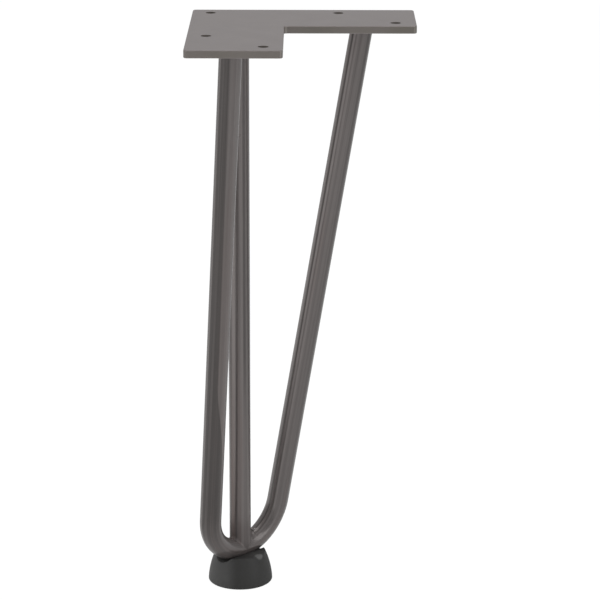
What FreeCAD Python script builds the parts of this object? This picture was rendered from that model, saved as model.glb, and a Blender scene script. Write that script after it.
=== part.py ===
import FreeCAD, Part
import math
import os

import Sketcher
from FreeCAD import Vector

# Hairpin table leg, in millimetres. The origin is on the mounting face, over the axis of the
# upright rod, with +Z up. The two arms of the plate run along +X and -Y, and the leg is the same
# on both sides of the upright plane halfway between them.

doc = FreeCAD.newDocument("hairpin_table_leg")

# Driving sizes, each as an alias, its value and what it is
SIZES = [
    ("plate_side", 120, "outer side of the angle plate, along each arm"),
    ("arm_width", 50, "width of each arm of the plate"),
    ("plate_thickness", 4, "thickness of the plate"),
    ("plate_corner", 2, "radius of the plate's corners, the inner one too"),
    ("plate_deburr", 0.3, "broken edge round both faces of the plate"),
    ("hole_diameter", 5.5, "screw holes"),
    ("hole_margin", 10, "screw hole to the nearest long edge of its arm"),
    ("outer_hole_setback", 41, "end of an arm to the screw hole by its outer edge"),
    ("inner_hole_setback", 11, "end of an arm to the screw hole by its inner edge"),
    ("rod_diameter", 12, "round bar of the hairpin and of the upright rod"),
    ("rod_inset", 25, "upright rod's axis to both outer edges of the plate"),
    ("steel_height", 309, "mounting face to the underside of the bend"),
    ("limb_setback", 28.3, "end of an arm to the axis of its limb at the plate's underside"),
    ("limb_inset", 23.1, "outer edge of an arm to the axis of its limb at the plate's underside"),
    ("bend_radius", 26.3, "radius of the bend at the bar's axis"),
    ("cope_land", 1.5, "bend's axis to the blunt tips of the upright rod's coped end"),
    ("weld_leg", 3.5, "fillet welds between the bars and the plate"),
    ("foot_lift", 13, "underside of the bend to the floor"),
    ("foot_height", 17, "floor to the top of the foot"),
    ("foot_base_diameter", 36.2, "foot at the floor"),
    ("foot_top_diameter", 28.2, "foot at its top"),
    ("foot_side_radius", 45, "swell of the foot's side"),
    ("foot_edge", 1.1, "rounded edge at the floor"),
    ("foot_rim", 0.5, "rounded edge at the top"),
    ("groove_radius", 7.5, "half-round groove across the foot"),
    ("seat_depth", 1, "how far the bend beds in below the bottom of the groove"),
]

sheet = doc.addObject("Spreadsheet::Sheet", "Sizes")
for row, (alias, size, note) in enumerate(SIZES, 1):
    sheet.set(f"A{row}", alias)
    sheet.set(f"B{row}", str(size))
    sheet.setAlias(f"B{row}", alias)
    sheet.set(f"C{row}", note)
doc.recompute()

# The leg is symmetric about an upright plane at this heading from the X axis
DIAGONAL = "45 deg"

# Lengths and angles that several pieces share, worked out from the sheet. The spread is from axis
# to axis of the limbs at the plate's underside, and the reach is from the upright rod's axis to
# the middle of the line between them.
ROD_RADIUS = "Sizes.rod_diameter / 2"
UNDERSIDE = "-Sizes.plate_thickness"
BEND_AXIS_LEVEL = f"-(Sizes.steel_height - {ROD_RADIUS})"
RISE = f"(Sizes.steel_height - {ROD_RADIUS} - Sizes.plate_thickness)"
LIMB_STATION = "(Sizes.plate_side - Sizes.limb_setback - Sizes.rod_inset)"
LIMB_OFFSET = "(Sizes.rod_inset - Sizes.limb_inset)"
SPREAD = f"({LIMB_STATION} + {LIMB_OFFSET}) / cos({DIAGONAL})"
REACH = f"({LIMB_STATION} - {LIMB_OFFSET}) * cos({DIAGONAL})"
LEAN = f"atan({REACH} / {RISE})"
HAIRPIN_LENGTH = f"sqrt(pow({REACH}; 2) + pow({RISE}; 2))"
FLOOR_LEVEL = "-(Sizes.steel_height + Sizes.foot_lift)"


def value(expression):
    """The number that an expression on the sheet gives."""
    result = doc.Sizes.evalExpression(expression)
    return float(getattr(result, "Value", result))


def new_body(name):
    """An empty body whose label names the piece and its file."""
    body = doc.addObject("PartDesign::Body", name)
    body.Label = name
    return body


def new_sketch(body, name, role="XY_Plane", **offsets):
    """A sketch on one of the body's own origin planes, shifted and turned by bound offsets."""
    sketch = body.newObject("Sketcher::SketchObject", name)
    plane = next(feature for feature in body.Origin.OriginFeatures if feature.Role == role)
    sketch.AttachmentSupport = [(plane, "")]
    sketch.MapMode = "FlatFace"
    for key, expression in offsets.items():
        group = "Base" if key in ("x", "y", "z") else "Rotation"
        sketch.setExpression(f"AttachmentOffset.{group}.{key}", expression)
    return sketch


def line(sketch, start, end):
    """A straight line in a sketch, from start to end."""
    return sketch.addGeometry(Part.LineSegment(Vector(*start, 0), Vector(*end, 0)))


def rounding(sketch, middle, radius, start, stop):
    """An arc in a sketch about a middle point, anticlockwise from one heading to another."""
    arc = Part.ArcOfCircle(Part.Circle(middle, Vector(0, 0, 1), radius), start, stop)
    return sketch.addGeometry(arc)


def rule(sketch, kind, *items):
    """A geometric rule between elements of a sketch, such as Horizontal or Coincident."""
    sketch.addConstraint(Sketcher.Constraint(kind, *items))


def dimension(sketch, name, expression, kind, *items):
    """A driving dimension of a sketch, bound to an expression on the sheet."""
    index = sketch.addConstraint(Sketcher.Constraint(kind, *items, value(expression)))
    sketch.renameConstraint(index, name)
    sketch.setExpression(f"Constraints.{name}", expression)


# The points of an element in a sketch, numbered from 1, and the sketch's own origin and y axis,
# numbered down from -1
START, END, CENTRE = range(1, 4)
ORIGIN, Y_AXIS = range(-1, -3, -1)


def circle(sketch, name, radius, centre=(0, 0)):
    """A circle with a bound radius, centred on the sketch's origin unless a centre is given."""
    ring = Part.Circle(Vector(*centre, 0), Vector(0, 0, 1), value(radius))
    index = sketch.addGeometry(ring)
    dimension(sketch, f"{name}_radius", radius, "Radius", index)
    if centre == (0, 0):
        rule(sketch, "Coincident", index, CENTRE, ORIGIN, START)
    return index


def hairpin_path(body):
    """The hairpin's centreline: two straight limbs, tangent to a round bend at the bottom.

    It lies in the plane that leans from the bend out to the tops of the limbs. The sketch's
    origin is the lowest point of the centreline, with y up the slope. The limbs' axes pass
    through the spread at the plate's underside and run on past it, to be trimmed there.
    """
    path = new_sketch(body, "centreline", z=BEND_AXIS_LEVEL, Yaw=DIAGONAL, Roll=f"90 deg + {LEAN}")
    half_spread = f"{SPREAD} / 2"
    half = value(half_spread)
    length = value(HAIRPIN_LENGTH)
    radius = value("Sizes.bend_radius")
    overrun = "Sizes.rod_diameter"
    drop = length - radius
    splay = math.atan2(half, drop) - math.asin(radius / math.hypot(half, drop))
    across = radius * math.cos(splay)
    up = radius - radius * math.sin(splay)
    top = length + value(overrun)
    top_across = half + value(overrun) * math.tan(splay)

    left = line(path, (-top_across, top), (-across, up))
    bend = rounding(path, Vector(0, radius, 0), radius, math.pi + splay, 2 * math.pi - splay)
    right = line(path, (across, up), (top_across, top))
    joint = path.addGeometry(Part.Point(Vector(half, length, 0)), True)

    rule(path, "PointOnObject", bend, CENTRE, Y_AXIS)
    rule(path, "PointOnObject", ORIGIN, START, bend)
    rule(path, "Tangent", left, END, bend, START)
    rule(path, "Tangent", bend, END, right, START)
    rule(path, "Horizontal", bend, START, bend, END)
    rule(path, "Horizontal", left, START, right, END)
    rule(path, "PointOnObject", joint, START, right)
    dimension(path, "bend", "Sizes.bend_radius", "Radius", bend)
    dimension(path, "half_spread", half_spread, "DistanceX", ORIGIN, START, joint, START)
    dimension(path, "length", HAIRPIN_LENGTH, "DistanceY", ORIGIN, START, joint, START)
    dimension(path, "top", f"{HAIRPIN_LENGTH} + {overrun}", "DistanceY", ORIGIN, START, right, END)
    return path


def bar_along(body, kind, name):
    """A pipe feature of the bar's section along the hairpin's centreline, added or cut away."""
    path = hairpin_path(body)
    section = body.newObject("Sketcher::SketchObject", "bar_section")
    section.AttachmentSupport = [(path, "Edge1")]
    section.MapMode = "NormalToEdge"
    circle(section, "bar", ROD_RADIUS)
    doc.recompute()
    pipe = body.newObject(kind, name)
    pipe.Profile = section
    pipe.Spine = (path, ["Edge1", "Edge2", "Edge3"])
    doc.recompute()
    return pipe


def edges_where(shape, test):
    """The names of a shape's edges that pass a test."""
    return [f"Edge{number}" for number, edge in enumerate(shape.Edges, 1) if test(edge)]


def is_upright(edge):
    """Whether a straight edge runs along Z."""
    return edge.Curve.TypeId == "Part::GeomLine" and abs(edge.Curve.Direction.z) > 0.99


def is_level_at(height):
    """A test for edges that lie at one height."""
    return lambda edge: all(abs(vertex.Z - height) < 1e-6 for vertex in edge.Vertexes)


# Mounting plate: a laser-cut angle with rounded corners and five screw holes. Its sketches start
# at the plate's outer corner, with an arm along each of their axes.
def mounting_plate():
    body = new_body("mounting_plate")
    corner = {"x": "-Sizes.rod_inset", "y": "Sizes.rod_inset", "Yaw": "-90 deg"}
    side = value("Sizes.plate_side")
    width = value("Sizes.arm_width")

    outline = new_sketch(body, "angle_outline", **corner)
    points = [(0, 0), (side, 0), (side, width), (width, width), (width, side), (0, side)]
    sides = [line(outline, a, b) for a, b in zip(points, points[1:] + points[:1])]
    for near, far in zip(sides, sides[1:] + sides[:1]):
        rule(outline, "Coincident", near, END, far, START)
    for level in sides[0::2]:
        rule(outline, "Horizontal", level)
    for upright in sides[1::2]:
        rule(outline, "Vertical", upright)
    rule(outline, "Coincident", sides[0], START, ORIGIN, START)
    rule(outline, "Equal", sides[0], sides[5])
    rule(outline, "Equal", sides[1], sides[4])
    dimension(outline, "side", "Sizes.plate_side", "DistanceX", sides[0], START, sides[0], END)
    dimension(outline, "width", "Sizes.arm_width", "DistanceY", sides[1], START, sides[1], END)
    doc.recompute()

    pad = body.newObject("PartDesign::Pad", "plate")
    pad.Profile = outline
    pad.Reversed = True
    pad.setExpression("Length", "Sizes.plate_thickness")
    doc.recompute()

    rounded = body.newObject("PartDesign::Fillet", "rounded_corners")
    rounded.Base = (pad, edges_where(pad.Shape, is_upright))
    rounded.setExpression("Radius", "Sizes.plate_corner")
    doc.recompute()

    thickness = value("Sizes.plate_thickness")
    faces = [is_level_at(0), is_level_at(-thickness)]
    broken = body.newObject("PartDesign::Chamfer", "broken_edges")
    broken.Base = (rounded, edges_where(rounded.Shape, lambda edge: any(face(edge) for face in faces)))
    broken.setExpression("Size", "Sizes.plate_deburr")
    doc.recompute()

    near = "Sizes.hole_margin"
    far = "Sizes.arm_width - Sizes.hole_margin"
    outer = "Sizes.plate_side - Sizes.outer_hole_setback"
    inner = "Sizes.plate_side - Sizes.inner_hole_setback"
    places = [(near, near), (outer, near), (near, outer), (inner, far), (far, inner)]
    drilled = new_sketch(body, "hole_places", **corner)
    for number, (along_x, along_y) in enumerate(places, 1):
        name = f"hole{number}"
        ring = circle(drilled, name, "Sizes.hole_diameter / 2", (value(along_x), value(along_y)))
        dimension(drilled, f"{name}_x", along_x, "DistanceX", ORIGIN, START, ring, CENTRE)
        dimension(drilled, f"{name}_y", along_y, "DistanceY", ORIGIN, START, ring, CENTRE)
    doc.recompute()
    holes = body.newObject("PartDesign::Pocket", "screw_holes")
    holes.Profile = drilled
    holes.Type = "ThroughAll"
    doc.recompute()
    return body


# Hairpin rod: one length of round bar, bent round at the bottom, with both ends cut off level
# where they meet the plate.
def hairpin_rod():
    body = new_body("hairpin_rod")
    bar_along(body, "PartDesign::AdditivePipe", "bent_bar")
    above = new_sketch(
        body,
        "level_cut",
        x=f"({LIMB_STATION} - {LIMB_OFFSET}) / 2",
        y=f"-({LIMB_STATION} - {LIMB_OFFSET}) / 2",
        z=UNDERSIDE,
    )
    circle(above, "cut", f"{SPREAD} / 2 + 2 * Sizes.rod_diameter")
    doc.recompute()
    trim = body.newObject("PartDesign::Pocket", "level_ends")
    trim.Profile = above
    trim.Type = "ThroughAll"
    trim.Reversed = True
    doc.recompute()
    return body


# Upright rod: a straight length of the same bar under the plate's corner, coped at its lower end
# to sit over the bend.
def upright_rod():
    body = new_body("upright_rod")
    end = new_sketch(body, "bar_end", z=UNDERSIDE)
    circle(end, "bar", ROD_RADIUS)
    doc.recompute()
    pad = body.newObject("PartDesign::Pad", "straight_bar")
    pad.Profile = end
    pad.Reversed = True
    pad.setExpression("Length", f"{RISE} - Sizes.cope_land")
    doc.recompute()
    bar_along(body, "PartDesign::SubtractivePipe", "cope")
    return body


# Weld: a fillet bead with a plain sloping face, round the top of a bar. It is turned about an
# upright axis under the plate and hollowed by the bar that it holds.
def weld(name, x="0", y="0", leaning=False):
    body = new_body(name)
    profile = new_sketch(body, "bead_profile", "XZ_Plane", x=x, y=UNDERSIDE, z=f"-({y})")
    heel_out = value(ROD_RADIUS)
    leg = value("Sizes.weld_leg")
    top = line(profile, (0, 0), (heel_out + leg, 0))
    face = line(profile, (heel_out + leg, 0), (heel_out, -leg))
    bottom = line(profile, (heel_out, -leg), (0, -leg))
    axis = line(profile, (0, -leg), (0, 0))
    for near, far in ((top, face), (face, bottom), (bottom, axis), (axis, top)):
        rule(profile, "Coincident", near, END, far, START)
    rule(profile, "Coincident", top, START, ORIGIN, START)
    rule(profile, "Horizontal", top)
    rule(profile, "Horizontal", bottom)
    rule(profile, "Vertical", axis)
    dimension(profile, "toe", f"{ROD_RADIUS} + Sizes.weld_leg", "DistanceX", top, START, top, END)
    dimension(profile, "heel", ROD_RADIUS, "DistanceX", bottom, END, bottom, START)
    dimension(profile, "leg", "Sizes.weld_leg", "DistanceY", axis, START, axis, END)
    doc.recompute()
    bead = body.newObject("PartDesign::Revolution", "bead")
    bead.Profile = profile
    bead.ReferenceAxis = (profile, ["V_Axis"])
    bead.Angle = 360
    doc.recompute()
    if leaning:
        bar_along(body, "PartDesign::SubtractivePipe", "bar_space")
    else:
        bore = new_sketch(body, "bar_outline", z=UNDERSIDE)
        circle(bore, "bar", ROD_RADIUS)
        doc.recompute()
        pocket = body.newObject("PartDesign::Pocket", "bar_space")
        pocket.Profile = bore
        pocket.Type = "ThroughAll"
        doc.recompute()
    return body


# Foot: a moulded rubber cone with a swelling side. A half-round groove crosses its top, and the
# bend beds a little way into the bottom of the groove.
def foot():
    body = new_body("foot")
    profile = new_sketch(body, "foot_profile", "XZ_Plane", y=FLOOR_LEVEL)
    base = value("Sizes.foot_base_diameter / 2")
    crown = value("Sizes.foot_top_diameter / 2")
    height = value("Sizes.foot_height")
    swell = value("Sizes.foot_side_radius")
    low, high = Vector(base, 0, 0), Vector(crown, height, 0)
    chord = high - low
    inward = Vector(-chord.y, chord.x, 0).normalize()
    middle = (low + high) / 2 + inward * math.sqrt(swell**2 - chord.Length**2 / 4)
    edge = value("Sizes.foot_edge")
    rim = value("Sizes.foot_rim")
    edge_middle = Vector(middle.x + math.sqrt((swell - edge) ** 2 - (edge - middle.y) ** 2), edge, 0)
    rim_middle = Vector(
        middle.x + math.sqrt((swell - rim) ** 2 - (height - rim - middle.y) ** 2), height - rim, 0
    )
    start = math.atan2(edge - middle.y, edge_middle.x - middle.x)
    stop = math.atan2(rim_middle.y - middle.y, rim_middle.x - middle.x)

    bottom = line(profile, (0, 0), (edge_middle.x, 0))
    floor_edge = rounding(profile, edge_middle, edge, -math.pi / 2, start)
    side = rounding(profile, middle, swell, start, stop)
    top_rim = rounding(profile, rim_middle, rim, stop, math.pi / 2)
    top = line(profile, (rim_middle.x, height), (0, height))
    axis = line(profile, (0, height), (0, 0))
    corner = profile.addGeometry(Part.Point(low), True)
    brow = profile.addGeometry(Part.Point(high), True)
    rule(profile, "Coincident", bottom, START, ORIGIN, START)
    rule(profile, "Horizontal", bottom)
    rule(profile, "Tangent", bottom, END, floor_edge, START)
    rule(profile, "Tangent", floor_edge, END, side, START)
    rule(profile, "Tangent", side, END, top_rim, START)
    rule(profile, "Tangent", top_rim, END, top, START)
    rule(profile, "Horizontal", top)
    rule(profile, "Coincident", top, END, axis, START)
    rule(profile, "Coincident", axis, END, ORIGIN, START)
    rule(profile, "Vertical", axis)
    # The widths are stated at the sharp corners that the rounded edges replace
    rule(profile, "PointOnObject", corner, START, side)
    rule(profile, "PointOnObject", corner, START, bottom)
    rule(profile, "PointOnObject", brow, START, side)
    rule(profile, "PointOnObject", brow, START, top)
    dimension(profile, "base", "Sizes.foot_base_diameter / 2", "DistanceX", ORIGIN, START, corner, START)
    dimension(profile, "crown", "Sizes.foot_top_diameter / 2", "DistanceX", top, END, brow, START)
    dimension(profile, "height", "Sizes.foot_height", "DistanceY", axis, END, axis, START)
    dimension(profile, "swell", "Sizes.foot_side_radius", "Radius", side)
    dimension(profile, "edge", "Sizes.foot_edge", "Radius", floor_edge)
    dimension(profile, "rim", "Sizes.foot_rim", "Radius", top_rim)
    doc.recompute()
    cone = body.newObject("PartDesign::Revolution", "turned_form")
    cone.Profile = profile
    cone.ReferenceAxis = (profile, ["V_Axis"])
    cone.Angle = 360
    doc.recompute()

    across = new_sketch(
        body,
        "groove_section",
        z="-Sizes.steel_height + Sizes.seat_depth + Sizes.groove_radius",
        Yaw=f"-{DIAGONAL}",
        Roll="90 deg",
    )
    circle(across, "groove", "Sizes.groove_radius")
    doc.recompute()
    groove = body.newObject("PartDesign::Pocket", "groove")
    groove.Profile = across
    groove.Type = "ThroughAll"
    groove.Midplane = True
    doc.recompute()
    bar_along(body, "PartDesign::SubtractivePipe", "seat")
    return body


pieces = [
    mounting_plate(),
    hairpin_rod(),
    upright_rod(),
    weld("upright_rod_weld"),
    weld("left_limb_weld", f"-{LIMB_OFFSET}", f"-{LIMB_STATION}", leaning=True),
    weld("right_limb_weld", LIMB_STATION, LIMB_OFFSET, leaning=True),
    foot(),
]
doc.recompute()

# Every object has to be sound before anything is written
for item in doc.Objects:
    faults = {"Invalid", "Error"}.intersection(item.State)
    if faults:
        raise RuntimeError(f"{item.Name} is {sorted(faults)}")
for piece in pieces:
    shape = piece.Shape
    if shape.isNull() or not shape.isValid() or len(shape.Solids) != 1:
        raise RuntimeError(f"{piece.Label} is not one valid solid")

os.makedirs("parts", exist_ok=True)
for piece in pieces:
    piece.Shape.exportStep(f"parts/{piece.Label}.step")
    print(f"{piece.Label}: {piece.Shape.Volume / 1000:.2f} cm3")
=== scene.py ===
import math

import bmesh
import bpy
from mathutils import Matrix, Vector, noise


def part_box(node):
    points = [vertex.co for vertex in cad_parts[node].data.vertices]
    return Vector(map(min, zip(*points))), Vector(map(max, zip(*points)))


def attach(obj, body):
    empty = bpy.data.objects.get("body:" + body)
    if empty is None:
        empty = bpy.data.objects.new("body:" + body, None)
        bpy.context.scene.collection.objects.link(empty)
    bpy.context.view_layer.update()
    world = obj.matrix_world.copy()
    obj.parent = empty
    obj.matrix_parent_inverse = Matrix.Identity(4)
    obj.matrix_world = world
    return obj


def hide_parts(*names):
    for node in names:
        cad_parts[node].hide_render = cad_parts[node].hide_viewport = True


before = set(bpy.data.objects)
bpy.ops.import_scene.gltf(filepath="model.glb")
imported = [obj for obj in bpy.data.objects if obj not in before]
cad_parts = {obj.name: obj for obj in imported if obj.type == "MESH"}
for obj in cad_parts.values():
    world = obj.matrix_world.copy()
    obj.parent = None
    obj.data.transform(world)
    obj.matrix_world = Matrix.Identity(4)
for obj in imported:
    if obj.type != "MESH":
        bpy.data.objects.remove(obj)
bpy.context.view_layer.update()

# Camera: the photograph's viewpoint, in front of the plate's open angle and a little above it,
# looking slightly down through a long lens. Its turn and roll are very small.
sensor_width = 36
focal_length = 158.34
standpoint = Vector((0.03776, -1.39868, 0.24652))
tilt_down = math.radians(16.100)
turn_right = math.radians(-0.172)
roll_clockwise = math.radians(-0.103)

lens = bpy.data.cameras.new("photo_camera")
lens.sensor_width = sensor_width
lens.lens = focal_length
camera = bpy.data.objects.new("photo_camera", lens)
bpy.context.scene.collection.objects.link(camera)
camera.matrix_world = (
    Matrix.Translation(standpoint)
    @ Matrix.Rotation(-turn_right, 4, "Z")
    @ Matrix.Rotation(math.pi / 2 - tilt_down, 4, "X")
    @ Matrix.Rotation(-roll_clockwise, 4, "Z")
)
bpy.context.scene.camera = camera


# Mounting plate: an angle cut by laser from 4 mm steel sheet, with its edges broken and five
# screw holes. The whole leg is sprayed with one satin lacquer, warm dark grey, which lies a
# little uneven and shows the cut edge's fine upright lines through it.
class Wire:
    """One output of a node. A sum on it adds the Math node that works it out."""

    def __init__(self, socket):
        self.socket = socket
        self.tree = socket.id_data

    def maths(self, operation, *terms):
        return add_node(self.tree, "ShaderNodeMath", {"operation": operation}, dict(enumerate(terms)))

    def __add__(self, other):
        return self.maths("ADD", self, other)

    def __radd__(self, other):
        return self.maths("ADD", other, self)

    def __sub__(self, other):
        return self.maths("SUBTRACT", self, other)

    def __rsub__(self, other):
        return self.maths("SUBTRACT", other, self)

    def __mul__(self, other):
        return self.maths("MULTIPLY", self, other)

    def __rmul__(self, other):
        return self.maths("MULTIPLY", other, self)

    def __abs__(self):
        return self.maths("ABSOLUTE", self)


def add_node(tree, kind, settings=None, inputs=None, output=0):
    """Adds a node, makes its settings first and then gives its inputs values or wires, and
    returns one of its outputs."""
    node = tree.nodes.new(kind)
    for name, setting in (settings or {}).items():
        setattr(node, name, setting)
    for name, item in (inputs or {}).items():
        if isinstance(name, str):
            socket = next(s for s in node.inputs if s.enabled and s.name == name)
        else:
            socket = node.inputs[name]
        if isinstance(item, Wire):
            tree.links.new(item.socket, socket)
        else:
            socket.default_value = item
    if isinstance(output, str):
        return Wire(next(s for s in node.outputs if s.enabled and s.name == output))
    return Wire(node.outputs[output])


def grains(tree, place, per_metre, detail=2.0, roughness=0.5):
    """Noise from 0 to 1 whose grains have their own number to the metre along each axis."""
    spread = add_node(
        tree, "ShaderNodeVectorMath", {"operation": "MULTIPLY"}, {0: place, 1: per_metre}
    )
    return add_node(
        tree,
        "ShaderNodeTexNoise",
        {"noise_dimensions": "3D"},
        {"Vector": spread, "Scale": 1.0, "Detail": detail, "Roughness": roughness},
    )


def soft_step(tree, value, middle, half_width):
    """0 where a value is well below the middle and 1 well above it, with a soft edge between."""
    return add_node(
        tree,
        "ShaderNodeMapRange",
        {"interpolation_type": "SMOOTHSTEP"},
        {"Value": value, "From Min": middle - half_width, "From Max": middle + half_width},
        "Result",
    )


def reach_along(tree, vector, direction):
    """How far a vector reaches along a direction."""
    return add_node(
        tree, "ShaderNodeVectorMath", {"operation": "DOT_PRODUCT"}, {0: vector, 1: direction}, "Value"
    )


def between(tree, low, high, share):
    """A colour between two others, each of them a wire or three numbers."""
    low, high = (item if isinstance(item, Wire) else (*item, 1) for item in (low, high))
    return add_node(
        tree,
        "ShaderNodeMix",
        {"data_type": "RGBA", "clamp_factor": True},
        {"Factor": share, "A": low, "B": high},
        "Result",
    )


def satin_lacquer(name, shades, tone_and_painted_light, tint_and_painted_shade, relief, dullness=None, attribute=None):
    """The leg's lacquer on one piece. Its tone from dark to light, which on the bars carries painted
    reflection bands and painted shade, its warm tint, which on the plate's upright edges is partly
    painted shade, its relief and its dullness are functions that work out a wire from the tree and
    the place on the piece, which is read from an attribute where one is named."""
    finish = bpy.data.materials.new(name)
    finish.use_nodes = True
    tree = finish.node_tree
    shader = tree.nodes["Principled BSDF"]
    if attribute:
        place = add_node(tree, "ShaderNodeAttribute", {"attribute_name": attribute}, output="Vector")
    else:
        place = add_node(tree, "ShaderNodeTexCoord", output="Object")

    dark, light, warm = shades
    grey = between(tree, dark, light, tone_and_painted_light(tree, place))
    colour = between(tree, grey, warm, tint_and_painted_shade(tree, place))
    tree.links.new(colour.socket, shader.inputs["Base Color"])

    coat = 0.45
    clouds = grains(tree, place, (38, 38, 38))
    roughness = 0.24 + clouds * 0.12
    if dullness:
        dull = dullness(tree, place)
        roughness = roughness + dull * 0.3
        tree.links.new((coat - dull * 0.4).socket, shader.inputs["Coat Weight"])
    tree.links.new(roughness.socket, shader.inputs["Roughness"])
    shader.inputs["Coat Weight"].default_value = coat
    shader.inputs["Coat Roughness"].default_value = 0.08
    shader.inputs["Metallic"].default_value = 0.35

    relief_depth = 0.00004
    peel = grains(tree, place, (900, 900, 900), 1.0)
    bump = add_node(
        tree,
        "ShaderNodeBump",
        None,
        {"Strength": 0.35, "Distance": relief_depth, "Height": relief(tree, place) + peel * 0.5},
    )
    tree.links.new(bump.socket, shader.inputs["Normal"])
    return finish


def plate_tone(tree, place):
    """Soft clouds in the lacquer's tone."""
    return grains(tree, place, (60, 60, 60), 3.0, 0.6) * 0.9 + 0.05


def on_edges(tree):
    """1 on the plate's upright edges and 0 on its faces."""
    facing = add_node(tree, "ShaderNodeNewGeometry", output="True Normal")
    return 1 - abs(reach_along(tree, facing, (0, 0, 1)))


def edge_tint_and_painted_shade(tree, place):
    """The lacquer is thinner and yellower on the cut edges, more so in places, and these upright
    faces are painted darker as painted shade.
    """
    patches = soft_step(tree, grains(tree, place, (30, 30, 30), 1.0), 0.5, 0.15)
    return on_edges(tree) * (0.5 + patches * 0.3)


def plate_relief(tree, place):
    """Fine upright lines left by the laser, on the cut edges only."""
    return grains(tree, place, (1500, 1500, 60)) * on_edges(tree) * 1.5


# The third plate shade, darker and yellower, goes on the upright cut edges as a yellower lacquer and
# as painted shade.
plate_shades = (0.279, 0.244, 0.238), (0.349, 0.306, 0.301), (0.190, 0.176, 0.146)
plate_lacquer = satin_lacquer("plate_lacquer", plate_shades, plate_tone, edge_tint_and_painted_shade, plate_relief)
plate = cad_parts["mounting_plate"]
plate.data.materials.clear()
plate.data.materials.append(plate_lacquer)


# Hairpin rod: one length of 12 mm round bar, drawn bright, bent round at the bottom in a plane that
# leans in from the plate, and cut off level where it is welded under the plate. The bar keeps faint
# drawing streaks along its whole length, round the bend too, and its lacquer carries painted
# reflection bands and painted shade on its outer side.
bar_radius = 0.006
bend_radius = 0.0263
underside = -0.004
bend_low_point = Vector((0, 0, -0.303))
limb_top_left = Vector((-0.0019, -0.0667, underside))
limb_top_right = Vector((0.0667, 0.0019, underside))
overrun = 0.008
bend_stations = 120
limb_stations = 24

across = (limb_top_right - limb_top_left).normalized()
half_spread = (limb_top_right - limb_top_left).length / 2
upslope_run = (limb_top_left + limb_top_right) / 2 - bend_low_point
upslope = upslope_run.normalized()
bend_centre = bend_low_point + upslope * bend_radius
drop = upslope_run.length - bend_radius
splay = math.atan2(half_spread, drop) - math.asin(bend_radius / math.hypot(half_spread, drop))
limb_length = math.sqrt(half_spread**2 + drop**2 - bend_radius**2)
quarter_turn = math.pi / 2 - splay


def on_bend(turn):
    """A point of the bend's centreline, by its angle from the lowest point."""
    return bend_centre + bend_radius * (across * math.sin(turn) - upslope * math.cos(turn))


def up_limb(side):
    """The centreline of the left limb, -1, or the right, 1, from the bend to above the plate's
    underside."""
    heading = across * side * math.sin(splay) + upslope * math.cos(splay)
    return [
        on_bend(side * quarter_turn) + heading * (limb_length + overrun) * step / limb_stations
        for step in range(1, limb_stations + 1)
    ]


round_bend = [
    on_bend(quarter_turn * (2 * step / bend_stations - 1)) for step in range(bend_stations + 1)
]
route = up_limb(-1)[::-1] + round_bend + up_limb(1)


def new_geometry_tree(name, sizes):
    """An empty geometry tree, and the wires by name of its geometry and of its sizes."""
    tree = bpy.data.node_groups.new(name, "GeometryNodeTree")
    tree.interface.new_socket("Geometry", in_out="INPUT", socket_type="NodeSocketGeometry")
    tree.interface.new_socket("Geometry", in_out="OUTPUT", socket_type="NodeSocketGeometry")
    for size_name, size in sizes.items():
        kind = "NodeSocketInt" if isinstance(size, int) else "NodeSocketFloat"
        socket = tree.interface.new_socket(size_name, in_out="INPUT", socket_type=kind)
        socket.default_value = size
    entry = tree.nodes.new("NodeGroupInput")
    return tree, {socket.name: Wire(socket) for socket in entry.outputs if socket.name}


def close_tree(tree, shape, finish):
    """Ends a geometry tree in smooth faces, real geometry and its material."""
    smooth = add_node(tree, "GeometryNodeSetShadeSmooth", None, {"Geometry": shape})
    real = add_node(tree, "GeometryNodeRealizeInstances", None, {"Geometry": smooth})
    painted = add_node(tree, "GeometryNodeSetMaterial", None, {"Geometry": real, "Material": finish})
    leaving = tree.nodes.new("NodeGroupOutput")
    tree.links.new(painted.socket, leaving.inputs[0])


def run_tree(name, tree, sizes, points, closed=False):
    """A plain mesh object that a geometry tree makes from a line of points."""
    base = bpy.data.meshes.new(name)
    pairs = [(n, n + 1) for n in range(len(points) - 1)]
    if closed:
        pairs.append((len(points) - 1, 0))
    base.from_pydata(points, pairs, [])
    piece = bpy.data.objects.new(name, base)
    bpy.context.scene.collection.objects.link(piece)
    modifier = piece.modifiers.new("build", "NODES")
    modifier.node_group = tree
    for socket in tree.interface.items_tree:
        if socket.in_out == "INPUT" and socket.name in sizes:
            modifier[socket.identifier] = sizes[socket.name]
    evaluated = piece.evaluated_get(bpy.context.evaluated_depsgraph_get())
    made = bpy.data.meshes.new_from_object(evaluated)
    piece.modifiers.remove(modifier)
    piece.data = made
    made.name = name
    return piece


def store(tree, shape, name, kind, value):
    """Keeps a value on each point of a shape under a name."""
    return add_node(
        tree,
        "GeometryNodeStoreNamedAttribute",
        {"data_type": kind, "domain": "POINT"},
        {"Geometry": shape, "Name": name, "Value": value},
    )


def recall(tree, name, kind):
    """A value kept on each point under a name."""
    return add_node(
        tree, "GeometryNodeInputNamedAttribute", {"data_type": kind}, {"Name": name}, "Attribute"
    )


def separate(tree, vector, axis):
    """One component of a vector."""
    return add_node(tree, "ShaderNodeSeparateXYZ", None, {0: vector}, axis)


def stripe(tree, place, bearing, half_width, slope=0.0):
    """A soft-edged stripe along a bar, on both sides of its section at one bearing in degrees. It
    drifts sideways by the slope as it runs along."""
    turn = math.radians(bearing)
    sideways = (-math.sin(turn), math.cos(turn), slope)
    return 1 - soft_step(tree, abs(reach_along(tree, place, sideways)), half_width, 0.0003)


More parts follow.
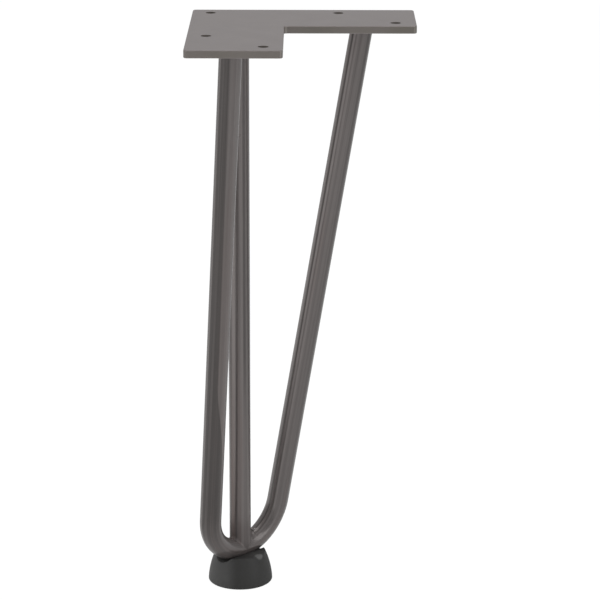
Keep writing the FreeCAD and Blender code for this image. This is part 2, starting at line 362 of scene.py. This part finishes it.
def shaded_side(tree, place):
    """1 on the hairpin's outer side, which is over half of the left limb and most of it near the
    bend, little of that on the right limb, and 0 on the rest."""
    outward = math.radians(152)
    side = reach_along(tree, place, (math.cos(outward), math.sin(outward), 0))
    run = separate(tree, place, "Z")
    widening = soft_step(tree, run, 0.225, 0.025) * 0.0045
    narrowing = soft_step(tree, run, 0.335, 0.025) * 0.0033
    start = 0.0043 - run * 0.0045 - widening + narrowing
    fading = soft_step(tree, run, 0.295, 0.02) * 0.9 - soft_step(tree, run, 0.37, 0.02) * 0.15
    return soft_step(tree, side - start, 0.0, 0.0004) * (1 - fading)


def streaks_and_painted_reflections(reflection_bands, shade=None):
    """The tone of drawn bar: fine lines, painted reflection bands at known bearings, which fade below
    an end where one is given, and a side darkened by painted shade where a shade is given."""

    def tone_and_painted_light(tree, place):
        bands = soft_step(tree, grains(tree, place, (620, 620, 4), 1.0), 0.5, 0.09)
        fine = grains(tree, place, (1900, 1900, 12))
        level = bands * 0.12 + fine * 0.36 + 0.24
        # Each band is a painted reflection: a lighter or darker stripe along the bar.
        for bearing, half_width, slope, change, *end in reflection_bands:
            mark = stripe(tree, place, bearing, half_width, slope) * change
            if end:
                mark = mark * soft_step(tree, separate(tree, place, "Z"), end[0], 0.03)
            level = level + mark
        # Painted shade on the bar's darker side.
        if shade:
            level = level - shade(tree, place) * 0.5
        return level

    return tone_and_painted_light


def drawn_tint(tree, place):
    """Long reddish streaks."""
    return soft_step(tree, grains(tree, place, (260, 260, 5), 1.0), 0.6, 0.06) * 0.45


def shaded_tint(tree, place):
    """Fainter reddish streaks that stop at the darker side."""
    return drawn_tint(tree, place) * (0.5 - shaded_side(tree, place) * 0.4)


def drawn_relief(tree, place):
    """Shallow drawing marks along the bar."""
    return grains(tree, place, (1500, 1500, 14)) * 0.6


# Each painted reflection band is given by its bearing, half width, slope and change of tone, and by
# the end below which it fades, if it does. On the hairpin that end is a run along the bar from its
# left end.
right_limb_only = 0.35
hairpin_reflection_bands = (
    (-27, 0.0004, 0.0, -0.28),
    (-16, 0.0007, 0.0, 0.5),
    (3, 0.0006, 0.0, 0.3),
    (-48, 0.0010, 0.0, 0.12),
    (-44, 0.0008, 0.0, 0.3, right_limb_only),
    (64, 0.0010, 0.0, -0.3, right_limb_only),
)
bar_shades = (0.080, 0.070, 0.067), (0.285, 0.256, 0.249), (0.195, 0.150, 0.138)
bar_lacquer = satin_lacquer(
    "bar_lacquer",
    bar_shades,
    streaks_and_painted_reflections(hairpin_reflection_bands, shaded_side),
    shaded_tint,
    drawn_relief,
    attribute="straightened",
)

bar_sizes = {"Bar radius": bar_radius, "Facets": 64}
bar_tree, bar_in = new_geometry_tree("bent_bar", bar_sizes)
path = add_node(bar_tree, "GeometryNodeMeshToCurve", None, {"Mesh": bar_in["Geometry"]})
along = add_node(bar_tree, "GeometryNodeSplineParameter", output="Length")
path = store(bar_tree, path, "run", "FLOAT", along)
section = add_node(
    bar_tree,
    "GeometryNodeCurvePrimitiveCircle",
    {"mode": "RADIUS"},
    {"Resolution": bar_in["Facets"], "Radius": bar_in["Bar radius"]},
)
here = add_node(bar_tree, "GeometryNodeInputPosition")
section = store(bar_tree, section, "round", "FLOAT_VECTOR", here)
bar = add_node(
    bar_tree,
    "GeometryNodeCurveToMesh",
    None,
    {"Curve": path, "Profile Curve": section, "Fill Caps": True},
)
around = recall(bar_tree, "round", "FLOAT_VECTOR")
straight = add_node(
    bar_tree,
    "ShaderNodeCombineXYZ",
    None,
    {
        "X": separate(bar_tree, around, "X"),
        "Y": separate(bar_tree, around, "Y"),
        "Z": recall(bar_tree, "run", "FLOAT"),
    },
)
bar = store(bar_tree, bar, "straightened", "FLOAT_VECTOR", straight)
close_tree(bar_tree, bar, bar_lacquer)


def cut_level(piece, height, close):
    """Cuts off what lies above a height and closes the piece there with one of the mesh tools."""
    form = bmesh.new()
    form.from_mesh(piece.data)
    everything = form.verts[:] + form.edges[:] + form.faces[:]
    cut = bmesh.ops.bisect_plane(
        form, geom=everything, plane_co=(0, 0, height), plane_no=(0, 0, 1), clear_outer=True
    )
    rims = [item for item in cut["geom_cut"] if isinstance(item, bmesh.types.BMEdge)]
    for cap in close(form, edges=rims)["faces"]:
        cap.smooth = False
    bmesh.ops.recalc_face_normals(form, faces=form.faces)
    form.to_mesh(piece.data)
    form.free()


hairpin = run_tree("hairpin_bar", bar_tree, bar_sizes, route)
cut_level(hairpin, underside, bmesh.ops.edgeloop_fill)
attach(hairpin, "root")
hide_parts("hairpin_rod")


# Upright rod: a straight length of the same bar under the corner of the plate. Its lower end is
# coped, cut to a saddle that sits over the bend, and the weld there is dressed to a fillet, which
# is widest and a little lumpy on the right.
rod_facets = 192
rod_rows = 40
fillet_rows = 20
fillet_radius = 0.0024
fillet_growth = 0.0008
lump_height = 0.0005
lumps_per_metre = 700


def to_bend(point):
    """From the bend's centreline out to a point near the bottom of the bend."""
    offset = point - bend_centre
    aside = across.cross(upslope)
    in_plane = offset - aside * offset.dot(aside)
    return point - (bend_centre + in_plane.normalized() * bend_radius)


def fillet_middle(outward, fillet):
    """The middle of a ball of the fillet's radius that touches both the rod and the bend."""
    spot = outward * (bar_radius + fillet)
    low = bend_low_point.z
    high = low + 4 * bar_radius
    halvings = 40
    for _ in range(halvings):
        spot.z = (low + high) / 2
        if to_bend(spot).length < bar_radius + fillet:
            low = spot.z
        else:
            high = spot.z
    spot.z = high
    return spot


form = bmesh.new()
columns = []
for step in range(rod_facets):
    angle = 2 * math.pi * step / rod_facets
    outward = Vector((math.cos(angle), math.sin(angle), 0))
    rightness = outward.dot(across)
    fillet = fillet_radius + fillet_growth * rightness
    middle = fillet_middle(outward, fillet)
    onto_bend = to_bend(middle).normalized()
    column = []
    for row in range(fillet_rows + 1):
        share = row / fillet_rows
        inward = onto_bend.lerp(outward, share).normalized()
        spot = middle - fillet * inward
        swelling = lump_height * max(rightness, 0) * math.sin(math.pi * share)
        column.append(spot + noise.noise(spot * lumps_per_metre) * swelling * inward)
    start = column[-1]
    for row in range(1, rod_rows + 1):
        rise = (underside - start.z) * (row / rod_rows) ** 2
        column.append(start + Vector((0, 0, rise)))
    columns.append([form.verts.new(point) for point in column])
for column, following in zip(columns, columns[1:] + columns[:1]):
    for corners in zip(column, following, following[1:], column[1:]):
        form.faces.new(corners).smooth = True
form.faces.new([column[-1] for column in columns])
hub = form.verts.new(bend_low_point)
for column, following in zip(columns, columns[1:] + columns[:1]):
    form.faces.new((hub, following[0], column[0]))
bmesh.ops.recalc_face_normals(form, faces=form.faces)
upright_mesh = bpy.data.meshes.new("upright_bar")
form.to_mesh(upright_mesh)
form.free()


def dressed(tree, place):
    """1 where the joint at the bend is ground smooth, and 0 above it and on its right."""
    low = 1 - soft_step(tree, separate(tree, place, "Z"), -0.285, 0.006)
    return low * (1 - soft_step(tree, reach_along(tree, place, across), 0.003, 0.002))


def upright_tint_and_reflection(tree, place):
    """Reddish streaks, and a broader reddish band on the left of the lower part, which is a painted
    reflection.
    """
    low = 1 - soft_step(tree, separate(tree, place, "Z"), -0.20, 0.04)
    return drawn_tint(tree, place) + stripe(tree, place, -130, 0.0016) * low * 0.45


# Painted reflection bands on the upright bar, given as on the hairpin.
upright_reflection_bands = (
    (-143, 0.0008, 0.0, -0.35),
    (-122, 0.0010, 0.0, 0.45, -0.26),
    (-94, 0.0004, -0.0062, -0.32),
    (-78, 0.0009, 0.0, 0.2),
    (-60, 0.0007, 0.0, -0.45, -0.21),
    (-33, 0.0005, 0.0, -0.25, -0.26),
)
upright_lacquer = satin_lacquer(
    "upright_lacquer",
    bar_shades,
    streaks_and_painted_reflections(upright_reflection_bands),
    upright_tint_and_reflection,
    drawn_relief,
    dressed,
)
upright_mesh.materials.append(upright_lacquer)
upright = bpy.data.objects.new("upright_bar", upright_mesh)
bpy.context.scene.collection.objects.link(upright)
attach(upright, "root")
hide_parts("upright_rod")


# Welds: a fillet bead of filler metal round the top of each bar, laid by hand under the plate in
# overlapping ripples and lacquered with the rest.
weld_leg = 0.0035
bead_inset = weld_leg * 0.42
bead_overlap = 0.0004
bead_stations = 360
bead_facets = 28
bead_sizes = {
    "Half width": 0.0027,
    "Crown": 0.0012,
    "Ripples": 26.0,
    "Ripple height": 0.00016,
    "Unsteadiness": 0.00045,
    "Seed": 1.0,
}

bead_tree, bead_in = new_geometry_tree("weld_bead", bead_sizes)
ring = add_node(bead_tree, "GeometryNodeMeshToCurve", None, {"Mesh": bead_in["Geometry"]})
factor = add_node(bead_tree, "GeometryNodeSplineParameter", output="Factor")
ring = store(bead_tree, ring, "lap", "FLOAT", factor)
bead_section = add_node(
    bead_tree,
    "GeometryNodeCurvePrimitiveCircle",
    {"mode": "RADIUS"},
    {"Resolution": bead_facets, "Radius": 1.0},
)
here = add_node(bead_tree, "GeometryNodeInputPosition")
bead_section = store(bead_tree, bead_section, "round", "FLOAT_VECTOR", here)
stretch = add_node(
    bead_tree,
    "ShaderNodeCombineXYZ",
    None,
    {"X": bead_in["Half width"], "Y": bead_in["Crown"], "Z": 1.0},
)
bead_section = add_node(
    bead_tree,
    "GeometryNodeTransform",
    None,
    {"Geometry": bead_section, "Scale": stretch, "Rotation": (0, 0, math.radians(-45))},
)
bead = add_node(
    bead_tree, "GeometryNodeCurveToMesh", None, {"Curve": ring, "Profile Curve": bead_section}
)
sideways = separate(bead_tree, recall(bead_tree, "round", "FLOAT_VECTOR"), "X")
ripple_bow = 0.45 * (1 - sideways * sideways)
phase = recall(bead_tree, "lap", "FLOAT") * bead_in["Ripples"] - ripple_bow
wave = add_node(bead_tree, "ShaderNodeMath", {"operation": "FRACT"}, {0: phase})
ripple = 1 - (2 * wave - 1) * (2 * wave - 1)
unsteady = add_node(
    bead_tree,
    "ShaderNodeTexNoise",
    {"noise_dimensions": "4D"},
    {"Vector": here, "W": bead_in["Seed"], "Scale": 320.0, "Detail": 1.0},
)
lift = (ripple - 0.5) * bead_in["Ripple height"] + (unsteady - 0.5) * bead_in["Unsteadiness"]
facing = add_node(bead_tree, "GeometryNodeInputNormal")
shift = add_node(
    bead_tree, "ShaderNodeVectorMath", {"operation": "SCALE"}, {0: facing, "Scale": lift}
)
bead = add_node(bead_tree, "GeometryNodeSetPosition", None, {"Geometry": bead, "Offset": shift})
weld_lacquer = satin_lacquer("weld_lacquer", plate_shades, plate_tone, drawn_tint, drawn_relief)
close_tree(bead_tree, bead, weld_lacquer)

left_heading = (limb_top_left - on_bend(-quarter_turn)).normalized()
right_heading = (limb_top_right - on_bend(quarter_turn)).normalized()
for name, node, top, heading, seed in (
    ("upright_bead", "upright_rod_weld", Vector((0, 0, underside)), Vector((0, 0, 1)), 1.0),
    ("left_bead", "left_limb_weld", limb_top_left, left_heading, 2.0),
    ("right_bead", "right_limb_weld", limb_top_right, right_heading, 3.0),
):
    centre = top - heading * bead_inset / heading.z
    reach = bar_radius + bead_inset
    circle = [
        centre + Vector((reach * math.cos(turn), reach * math.sin(turn), 0))
        for turn in (2 * math.pi * step / bead_stations for step in range(bead_stations))
    ]
    bead_piece = run_tree(name, bead_tree, {**bead_sizes, "Seed": seed}, circle, closed=True)
    cut_level(bead_piece, underside + bead_overlap, bmesh.ops.bridge_loops)
    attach(bead_piece, "root")
    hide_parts(node)


# Foot: a cone of black rubber, moulded with a half-round groove across its top and stuck under the
# bend. It is matt, with the mould's fine texture. Its left side is made paler by painted light, and a
# patch below its rim is made pale by painted light.
black_shades = (0.031, 0.031, 0.0305), (0.056, 0.055, 0.053)
# The pale shade is painted light, laid on the rubber's left side and on a lit patch near its rim.
painted_light_shade = (0.160, 0.159, 0.157)
lit_patch_middle = (0.0109, -0.0086, -0.3043)
lit_patch_radius = 0.0026
texture_depth = 0.00005

rubber = bpy.data.materials.new("moulded_rubber")
rubber.use_nodes = True
tree = rubber.node_tree
shader = tree.nodes["Principled BSDF"]
place = add_node(tree, "ShaderNodeTexCoord", output="Object")
bloom = grains(tree, place, (70, 70, 70), 3.0, 0.6)
texture = grains(tree, place, (2600, 2600, 2600))
black = between(tree, *black_shades, bloom * 0.8 + texture * 0.3 - 0.1)
# Painted light: a lit patch on the front right near the rim.
to_lit_patch = add_node(
    tree, "ShaderNodeVectorMath", {"operation": "DISTANCE"}, {0: place, 1: lit_patch_middle}, "Value"
)
lit_patch = (1 - soft_step(tree, to_lit_patch, lit_patch_radius, 0.0008)) * (0.6 + bloom)
# Painted light: the left side made paler.
leftward = reach_along(tree, place, (-1, 0, 0))
lit_left_side = soft_step(tree, leftward, 0.0045, 0.0035) * (0.295 + bloom * 0.175)
lit_rubber = between(tree, black, painted_light_shade, lit_patch + lit_left_side)
tree.links.new(lit_rubber.socket, shader.inputs["Base Color"])
tree.links.new((0.48 + bloom * 0.16).socket, shader.inputs["Roughness"])
skin = add_node(
    tree, "ShaderNodeBump", None, {"Strength": 0.4, "Distance": texture_depth, "Height": texture}
)
tree.links.new(skin.socket, shader.inputs["Normal"])
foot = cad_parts["foot"]
foot.data.materials.clear()
foot.data.materials.append(rubber)


# Floor and light: a plain white floor that the foot stands on, with a soft light above and behind
# the leg, one to its right and one to its left that no reflection shows. None of them is part of
# the leg.
floor_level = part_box("foot")[0].z
floor_half = 6.0
white = 1.12
room = 0.32
seen_glow = 0.86
mirrored_glow = 0.2

floor_mesh = bpy.data.meshes.new("floor")
floor_mesh.from_pydata(
    [(x * floor_half, y * floor_half, floor_level) for x, y in ((-1, -1), (1, -1), (1, 1), (-1, 1))],
    [],
    [(0, 1, 2, 3)],
)
floor = bpy.data.objects.new("floor", floor_mesh)
bpy.context.scene.collection.objects.link(floor)
paper = bpy.data.materials.new("white_floor")
paper.use_nodes = True
tree = paper.node_tree
tree.nodes.remove(tree.nodes["Principled BSDF"])
seen = add_node(tree, "ShaderNodeLightPath", output="Is Camera Ray")
mirrored = add_node(tree, "ShaderNodeLightPath", output="Is Glossy Ray")
through = add_node(tree, "ShaderNodeLightPath", output="Is Transmission Ray")
lit = add_node(tree, "ShaderNodeBsdfDiffuse", None, {"Color": (0.8, 0.8, 0.8, 1)}, "BSDF")
glow = add_node(
    tree, "ShaderNodeEmission", None, {"Color": (1, 1, 1, 1), "Strength": white}, "Emission"
)
share = seen * seen_glow + mirrored * mirrored_glow + through * seen_glow
surface = add_node(tree, "ShaderNodeMixShader", None, {0: share, 1: lit, 2: glow}, "Shader")
below = add_node(tree, "ShaderNodeNewGeometry", output="Backfacing")
clear = add_node(tree, "ShaderNodeBsdfTransparent", None, None, "BSDF")
surface = add_node(tree, "ShaderNodeMixShader", None, {0: below, 1: surface, 2: clear}, "Shader")
tree.links.new(surface.socket, tree.nodes["Material Output"].inputs["Surface"])
floor_mesh.materials.append(paper)

world = bpy.data.worlds.new("studio")
bpy.context.scene.world = world
world.use_nodes = True
tree = world.node_tree
sky = tree.nodes["Background"]
seen = add_node(tree, "ShaderNodeLightPath", output="Is Camera Ray")
through = add_node(tree, "ShaderNodeLightPath", output="Is Transmission Ray")
strength = room + (seen + through) * (white - room)
sky.inputs["Color"].default_value = (1, 1, 1, 1)
tree.links.new(strength.socket, sky.inputs["Strength"])

leg_middle = Vector((0.03, -0.03, -0.15))
for name, place, width, height, watts, in_reflections in (
    ("overhead", Vector((0.1, 0.5, 1.5)), 1.4, 1.4, 14.5, True),
    ("right_panel", Vector((1.3, -0.9, 0.35)), 0.7, 1.4, 4.5, True),
    ("left_panel", Vector((-1.2, -0.7, -0.1)), 0.6, 1.0, 6.0, False),
):
    lamp = bpy.data.lights.new(name, "AREA")
    lamp.shape = "RECTANGLE"
    lamp.size = width
    lamp.size_y = height
    lamp.energy = watts
    panel = bpy.data.objects.new(name, lamp)
    bpy.context.scene.collection.objects.link(panel)
    towards_leg = (leg_middle - place).to_track_quat("-Z", "Y").to_matrix().to_4x4()
    panel.matrix_world = Matrix.Translation(place) @ towards_leg
    panel.visible_camera = False
    panel.visible_glossy = in_reflections

bpy.context.scene.view_settings.view_transform = "Standard"
